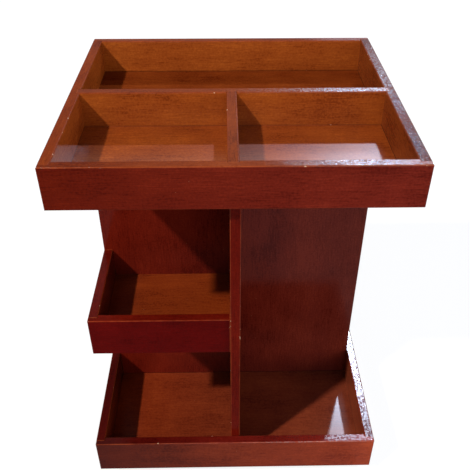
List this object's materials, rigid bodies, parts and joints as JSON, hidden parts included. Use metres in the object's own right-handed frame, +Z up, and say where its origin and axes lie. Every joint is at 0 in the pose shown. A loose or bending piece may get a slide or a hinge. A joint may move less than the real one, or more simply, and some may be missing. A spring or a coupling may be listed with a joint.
{
  "type": "rotating makeup organizer",
  "caption": "Open wooden vanity organizer that turns on a ball turntable: a divided top tray and a base tray joined by a cross-shaped core that carries shelf trays.",
  "frame": {"origin": "on the supporting surface, on the turntable's axis, bottom centre of the bounding box", "axes": "+Z up along the turntable's axis, front towards -Y, +X to the right of someone who faces the front"},
  "size_m": [0.3, 0.278, 0.4075],
  "materials": {
    "wall_wood": "red-brown lacquer, glossy",
    "floor_wood": "orange-brown lacquer, glossy",
    "panel_wood": "red-brown lacquer, glossy",
    "foot_wood": "red-brown lacquer, satin",
    "plate_steel": "zinc plated",
    "screw_steel": "yellow zinc",
    "ball_steel": "polished",
    "cage_plastic": "matt",
    "foot_rubber": "matt"
  },
  "bodies": {
    "turntable_foot": {"foot_board": "foot_wood", "rubber_feet": "foot_rubber", "lower_plate": "plate_steel", "lower_plate_screws": "screw_steel"},
    "organiser": {"top_front_board": "wall_wood", "top_back_board": "wall_wood", "top_left_board": "wall_wood", "top_right_board": "wall_wood", "top_floor_board": "floor_wood", "long_divider": "wall_wood", "short_divider": "wall_wood", "base_front_board": "wall_wood", "base_back_board": "wall_wood", "base_left_board": "wall_wood", "base_right_board": "wall_wood", "base_floor_board": "floor_wood", "cross_panel": "panel_wood", "spine_panel": "panel_wood", "front_shelf_front_board": "wall_wood", "front_shelf_side_board": "wall_wood", "front_shelf_floor_board": "floor_wood", "rear_shelf_front_board": "wall_wood", "rear_shelf_side_board": "wall_wood", "rear_shelf_floor_board": "floor_wood", "upper_plate": "plate_steel", "upper_plate_screws": "screw_steel"},
    "ball_ring": {"ball_cage": "cage_plastic", "bearing_balls": "ball_steel"}
  },
  "joints": [
    {"name": "organiser_spin", "type": "hinge", "parent": "turntable_foot", "child": "organiser", "pos_m": [0, 0, 0.018], "axis": [0, 0, 1], "continuous": true},
    {"name": "ball_ring_spin", "type": "hinge", "parent": "turntable_foot", "child": "ball_ring", "pos_m": [0, 0, 0.018], "axis": [0, 0, 1], "continuous": true}
  ],
  "couplings": [
    {"joint": "ball_ring_spin", "follows": "organiser_spin", "ratio": 0.5}
  ]
}
